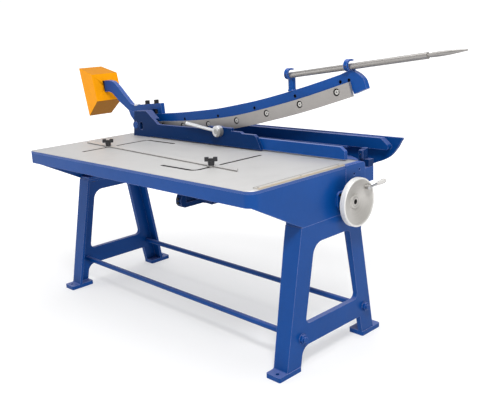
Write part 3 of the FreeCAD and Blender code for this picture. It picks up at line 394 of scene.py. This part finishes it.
def post_bar(m, base):
    """Fine graduations at the right end of the front gauge, and painted shade darkening the front edge and sides."""
    x, y, z = m.xyz()
    tick = m.mul(m.lt(m.math("FRACT", m.mul(x, 100.0), 0.0), 0.14), m.gt(x, 0.40))
    base = m.mix(m.mul(tick, 0.5), base, lin(90, 88, 86))
    # Painted shade: faces below the bar's top darkened.
    return m.mix(m.mul(m.lt(z, 0.8554), 0.8), base, lin(104, 101, 98))


def wheel_mat():
    """Turned dish: fine rings, a painted conical sheen bright on two opposite sides, a painted highlight whitening the
    rim, painted shade at the hub's edge and in the bore, and a painted highlight along edges.
    """
    m = Mat2("turned_wheel")
    m.set(Metallic=0.12, Roughness=0.42, IOR=1.5)
    x, y, z = m.xyz()
    r = m.dist(y, z, 0.119, 0.690)
    ang = m.math("ARCTAN2", m.math("SUBTRACT", z, 0.690), m.math("SUBTRACT", y, 0.119))
    # Painted sheen: brightness varying with the angle round the axis, twice per turn.
    painted_sheen_angle = m.math("SINE", m.math("ADD", m.mul(ang, 2.0), 0.7), 0.0)
    comb = m.nt.nodes.new("ShaderNodeCombineXYZ")
    m.nt.links.new(m.mul(r, 900.0), comb.inputs[0])
    m.nt.links.new(m.mul(ang, 0.35), comb.inputs[1])
    rings = m.noise(1.0, 4.0, 0.6, comb.outputs[0])
    fac = m.math("ADD", m.mul(rings, 0.6), m.math("ADD", m.mul(painted_sheen_angle, 0.14), 0.18))
    base = m.mix(m.rng(fac, 0.0, 1.0, 0.2, 0.8), lin(150, 147, 142), lin(192, 189, 185))
    # Painted highlight: the rim whitened.
    rim = m.rng(r, 0.0, 1.0, 0.0985, 0.1035)
    base = m.mix(m.mul(rim, 0.85), base, lin(226, 225, 222))
    base = m.mix(m.mul(m.rng(m.noise(12.0, 5.0, 0.65), 0.0, 0.18, 0.5, 0.75), 1.0), base, lin(120, 116, 110))
    # Painted highlight: edges lightened.
    base = m.mix(m.mul(m.edge(0.0015), 0.4), base, lin(240, 240, 238))
    # Painted shade: a dark ring at the hub's edge.
    hub_edge_painted_shade = m.mul(m.gt(r, 0.0195), m.lt(r, 0.0225))
    base = m.mix(m.mul(hub_edge_painted_shade, 0.5), base, lin(96, 93, 90))
    # Painted shade: the bore darkened.
    base = m.mix(m.lt(r, 0.0115), base, lin(58, 56, 56))
    m.link(base, "Base Color")
    m.link(m.rng(rings, 0.33, 0.52, 0.25, 0.75), "Roughness")
    m.bump(rings, 0.12, 0.0002)
    return m.m


M = {
    "blue": paint("blue_enamel", BLUE),
    "body": paint("blue_enamel_table", BLUE, post=post_body),
    "arm": paint("blue_enamel_arm", BLUE, post=post_arm),
    "beam": paint("blue_enamel_beam", BLUE, post=post_beam),
    # Painted shade: darker copies of the blue enamel for the bracket, guide, gauge arm, channel and boat.
    "painted_shade_blue": paint("blue_enamel_shaded_copy", SHADED_BLUE, edge_gain=0.45, spec=0.07, coat=0.03),
    "boat": paint("blue_enamel_boat_shaded_copy", BOAT_BLUE_IN_SHADE, edge_gain=0.45, spec=0.1, coat=0.04, shade=0.85),
    # top=-0.75 paints shade on the up-facing faces; shade=0.24 darkens the down-facing ones.
    "orange": paint("orange_enamel", lin(242, 156, 6), rough=0.45, cast=0.7, var=0.05, shade=0.24, edge_gain=0.0, wear=0.15,
                    spec=0.08, coat=0.03, top=-0.75),
    "table": steel("ground_table", lin(187, 186, 185), 0.5, (1, 45, 45), 9.0, 0.35, 0.12, 0.05, post=post_table, smut=0.10),
    "knife": steel("ground_knife", lin(158, 154, 151), 0.40, (60, 1, 5), 6.0, 0.6, 0.2, 0.07, post=post_knife),
    "bolt": steel("bolt_steel", lin(196, 194, 190), 0.36, (8, 8, 8), 10.0, 0.7, 0.1, 0.08, post=post_bolts),
    "bright": steel("bright_steel", lin(176, 176, 178), 0.32, (3, 40, 40), 10.0, 0.75, 0.12, 0.07),
    "chrome": steel("satin_chrome", lin(210, 211, 214), 0.3, (4, 30, 30), 12.0, 0.45, 0.1, 0.05, post=post_hub),
    "handle": steel("drawn_tube", lin(147, 144, 141), 0.3, (0.6, 70, 70), 8.0, 0.7, 0.15, 0.26),
    "dark": plain("dark_steel", lin(26, 26, 30), 0.4, 260.0, 0.15, 0.15, Metallic=0.4),
    "shaft": steel("shaft_steel", lin(176, 176, 178), 0.32, (3, 40, 40), 10.0, 0.75, 0.12, 0.07, post=post_shaft),
    "wheel": wheel_mat(),
    "grip": plain("grey_enamel", lin(196, 194, 191), 0.42, 380.0, 0.15, 0.05),
    "knob": plain("dark_plastic", lin(40, 40, 43), 0.46, 500.0, 0.2, 0.12),
    "bronze": plain("bearing_bronze", lin(176, 132, 74), 0.35, 200.0, 0.1, 0.08, Metallic=0.9),
    "strip": steel("satin_strip", lin(188, 184, 177), 0.42, (1, 30, 30), 12.0, 0.25, 0.08, 0.03, post=post_rule),
    "bar": steel("satin_bar", lin(190, 188, 186), 0.42, (1, 30, 30), 12.0, 0.3, 0.08, 0.04, post=post_bar),
    "brown": plain("brown_screws", lin(96, 78, 62), 0.45, 300.0, 0.15, 0.12, Metallic=0.4),
}
SLOT_MAT = {"blue_paint": "blue", "orange_paint": "orange", "table_steel": "table", "knife_steel": "knife",
            "bright_steel": "bright", "dark_steel": "dark", "wheel_paint": "wheel", "knob_plastic": "knob",
            "bronze": "bronze", "light_strip": "strip"}
# Parts given a darker copy of the blue enamel carry painted shade.
NODE_MAT = {"table_body": "body", "counterweight_arm": "arm", "blade_guide_post": "painted_shade_blue", "blade_guide_shoe": "painted_shade_blue",
            "blade_beam": "beam", "cross_shaft": "shaft", "holddown_bracket": "painted_shade_blue", "rear_gauge_beam": "boat", "rear_gauge_arm": "painted_shade_blue", "gauge_channel": "painted_shade_blue",
            "holddown_bar": "blue", "knife_bolts": "bolt", "clamp_lever": "chrome", "clamp_shaft": "chrome",
            "arm_locating_stud": "chrome", "handle_bar": "handle", "handle_grip": "handle", "crank_grip": "grip",
            "front_gauge_bar": "bar", "side_rule_screws": "brown", "lower_knife": "bright"}


def set_mat(ob, mat):
    if not ob.material_slots:
        ob.data.materials.append(mat)
    for s in ob.material_slots:
        s.material = mat


for sp in frame["record"]["subparts"]:
    ob = NODES.get(sp["node"])
    if ob is not None:
        set_mat(ob, M[NODE_MAT.get(sp["node"], SLOT_MAT[sp["material_slot"]])])

# ------------------------------------------------------------------ softened edges
BEVEL = {
    "stand_left": 3.0, "stand_right": 3.0, "table_body": 2.5, "table_plate": 1.2, "holddown_bracket": 2.5,
    "holddown_bar": 1.5, "blade_beam": 2.5, "counterweight_arm": 3.0, "counterweight": 0.0, "rear_gauge_beam": 2.0,
    "rear_gauge_arm": 2.0, "gauge_channel": 2.0, "bearing_flange": 1.2, "blade_guide_block": 1.5, "blade_guide_post": 1.2,
    "hook_left": 2.0, "hook_right": 2.0, "lower_knife": 0.4, "upper_knife": 0.6, "handwheel": 1.0,
    "tie_rod_nuts": 0.8, "table_bolts": 0.8, "side_rule": 0.3, "front_gauge_bar": 0.4, "clamp_shaft": 0.6,
    "arm_cap_screws": 0.8, "handle_bar": 1.0, "pivot_nut": 1.0, "pivot_washers": 0.6, "shaft_collar": 0.8,
    "gauge_bolts": 0.6, "tie_rod_front": 1.5, "tie_rod_rear": 1.5, "cross_shaft": 1.0, "knife_bolts": 0.4,
}


def soften(ob, mm, segments=2, angle=30.0):
    w = ob.modifiers.new("weld", "WELD")
    w.merge_threshold = 1e-6
    if mm > 0:
        b = ob.modifiers.new("bevel", "BEVEL")
        b.width = mm / 1000.0
        b.segments = segments
        b.limit_method = "ANGLE"
        b.angle_limit = math.radians(angle)
        b.use_clamp_overlap = True
        b.harden_normals = False
    n = ob.modifiers.new("normals", "WEIGHTED_NORMAL")
    n.keep_sharp = False
    n.weight = 50
    for p in ob.data.polygons:
        p.use_smooth = True


for n, mm in BEVEL.items():
    if n in NODES:
        soften(NODES[n], mm)


# ------------------------------------------------------------------ springs
def springs():
    """The two hold-down springs, as a copy in the place of the rigid ones, riding with the table."""
    src = NODES["holddown_springs"]
    ob = bpy.data.objects.new("coil_springs", src.data.copy())
    scene.collection.objects.link(ob)
    ob.matrix_world = src.matrix_world.copy()
    for p in ob.data.polygons:
        p.use_smooth = True
    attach(ob, "table")
    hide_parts("holddown_springs")
    set_mat(ob, M["bright"])
    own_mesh(ob)


springs()


# ------------------------------------------------------------------ stage
def stage():
    me = bpy.data.meshes.new("floor")
    bm = bmesh.new()
    bmesh.ops.create_grid(bm, x_segments=8, y_segments=8, size=60.0)
    bm.to_mesh(me)
    bm.free()
    fl = bpy.data.objects.new("floor", me)
    scene.collection.objects.link(fl)
    fl.location = (0, 0, -0.0005)
    m = Mat2("floor_white")
    m.set(Roughness=0.9)
    m.link(m.ramp(m.noise(0.6, 2.0, 0.5), [(0.3, (0.49, 0.49, 0.495, 1)), (0.7, (0.51, 0.51, 0.515, 1))]), "Base Color")
    x, y, z = m.xyz()
    far = m.rng(m.dist(x, y, 0.0, 0.0), 0.5, 1.0, 1.2, 3.2)
    m.p.inputs["Emission Color"].default_value = (1.0, 1.0, 1.0, 1.0)
    m.link(far, "Emission Strength")
    fl.data.materials.append(m.m)
    w = bpy.data.worlds.new("studio")
    scene.world = w
    w.use_nodes = True
    nt = w.node_tree
    nt.nodes.clear()
    tc = nt.nodes.new("ShaderNodeTexCoord")
    sp = nt.nodes.new("ShaderNodeSeparateXYZ")
    nt.links.new(tc.outputs["Generated"], sp.inputs[0])
    dt = nt.nodes.new("ShaderNodeVectorMath")
    dt.operation = "DOT_PRODUCT"
    dt.inputs[1].default_value = (-0.725, 0.689, 0.0)
    nt.links.new(tc.outputs["Generated"], dt.inputs[0])

    def rng(src, a, b, lo, hi):
        r = nt.nodes.new("ShaderNodeMapRange")
        for k, v in (("From Min", a), ("From Max", b), ("To Min", lo), ("To Max", hi)):
            r.inputs[k].default_value = v
        nt.links.new(src, r.inputs["Value"])
        return r.outputs["Result"]

    back = rng(dt.outputs["Value"], -0.4, 0.6, WORLD_NEAR, WORLD_FAR)
    high = rng(sp.outputs[2], 0.12, 0.5, 1.0, WORLD_HIGH)
    mu = nt.nodes.new("ShaderNodeMath")
    mu.operation = "MULTIPLY"
    nt.links.new(back, mu.inputs[0])
    nt.links.new(high, mu.inputs[1])
    bg = nt.nodes.new("ShaderNodeBackground")
    bg.inputs["Color"].default_value = (1.0, 1.0, 1.0, 1.0)
    nt.links.new(mu.outputs[0], bg.inputs["Strength"])
    o = nt.nodes.new("ShaderNodeOutputWorld")
    nt.links.new(bg.outputs[0], o.inputs[0])

    def area(name, loc, target, size, power, col=(1, 1, 1)):
        li = bpy.data.lights.new(name, "AREA")
        li.shape = "RECTANGLE"
        li.size, li.size_y = size
        li.energy = power
        li.color = col
        ob = bpy.data.objects.new(name, li)
        scene.collection.objects.link(ob)
        ob.location = loc
        ob.rotation_euler = (Vector(target) - Vector(loc)).to_track_quat("-Z", "Y").to_euler()
        return ob

    area("top_box", (0.0, 0.2, 4.4), (0, 0, 0.7), (4.0, 3.0), TOP_W)
    area("key", (2.6, -1.7, 3.7), (0, 0, 0.5), (0.9, 0.9), KEY_W)
    area("fill", (-2.8, -3.2, 2.4), (0, 0, 0.7), (2.4, 2.0), FILL_W)


WORLD_NEAR, WORLD_FAR, WORLD_HIGH = 0.42, 1.04, 0.62
TOP_W, KEY_W, FILL_W = 90, 120, 26
stage()
scene.view_settings.view_transform = "Standard"
scene.view_settings.look = "None"
scene.view_settings.exposure = 0.0
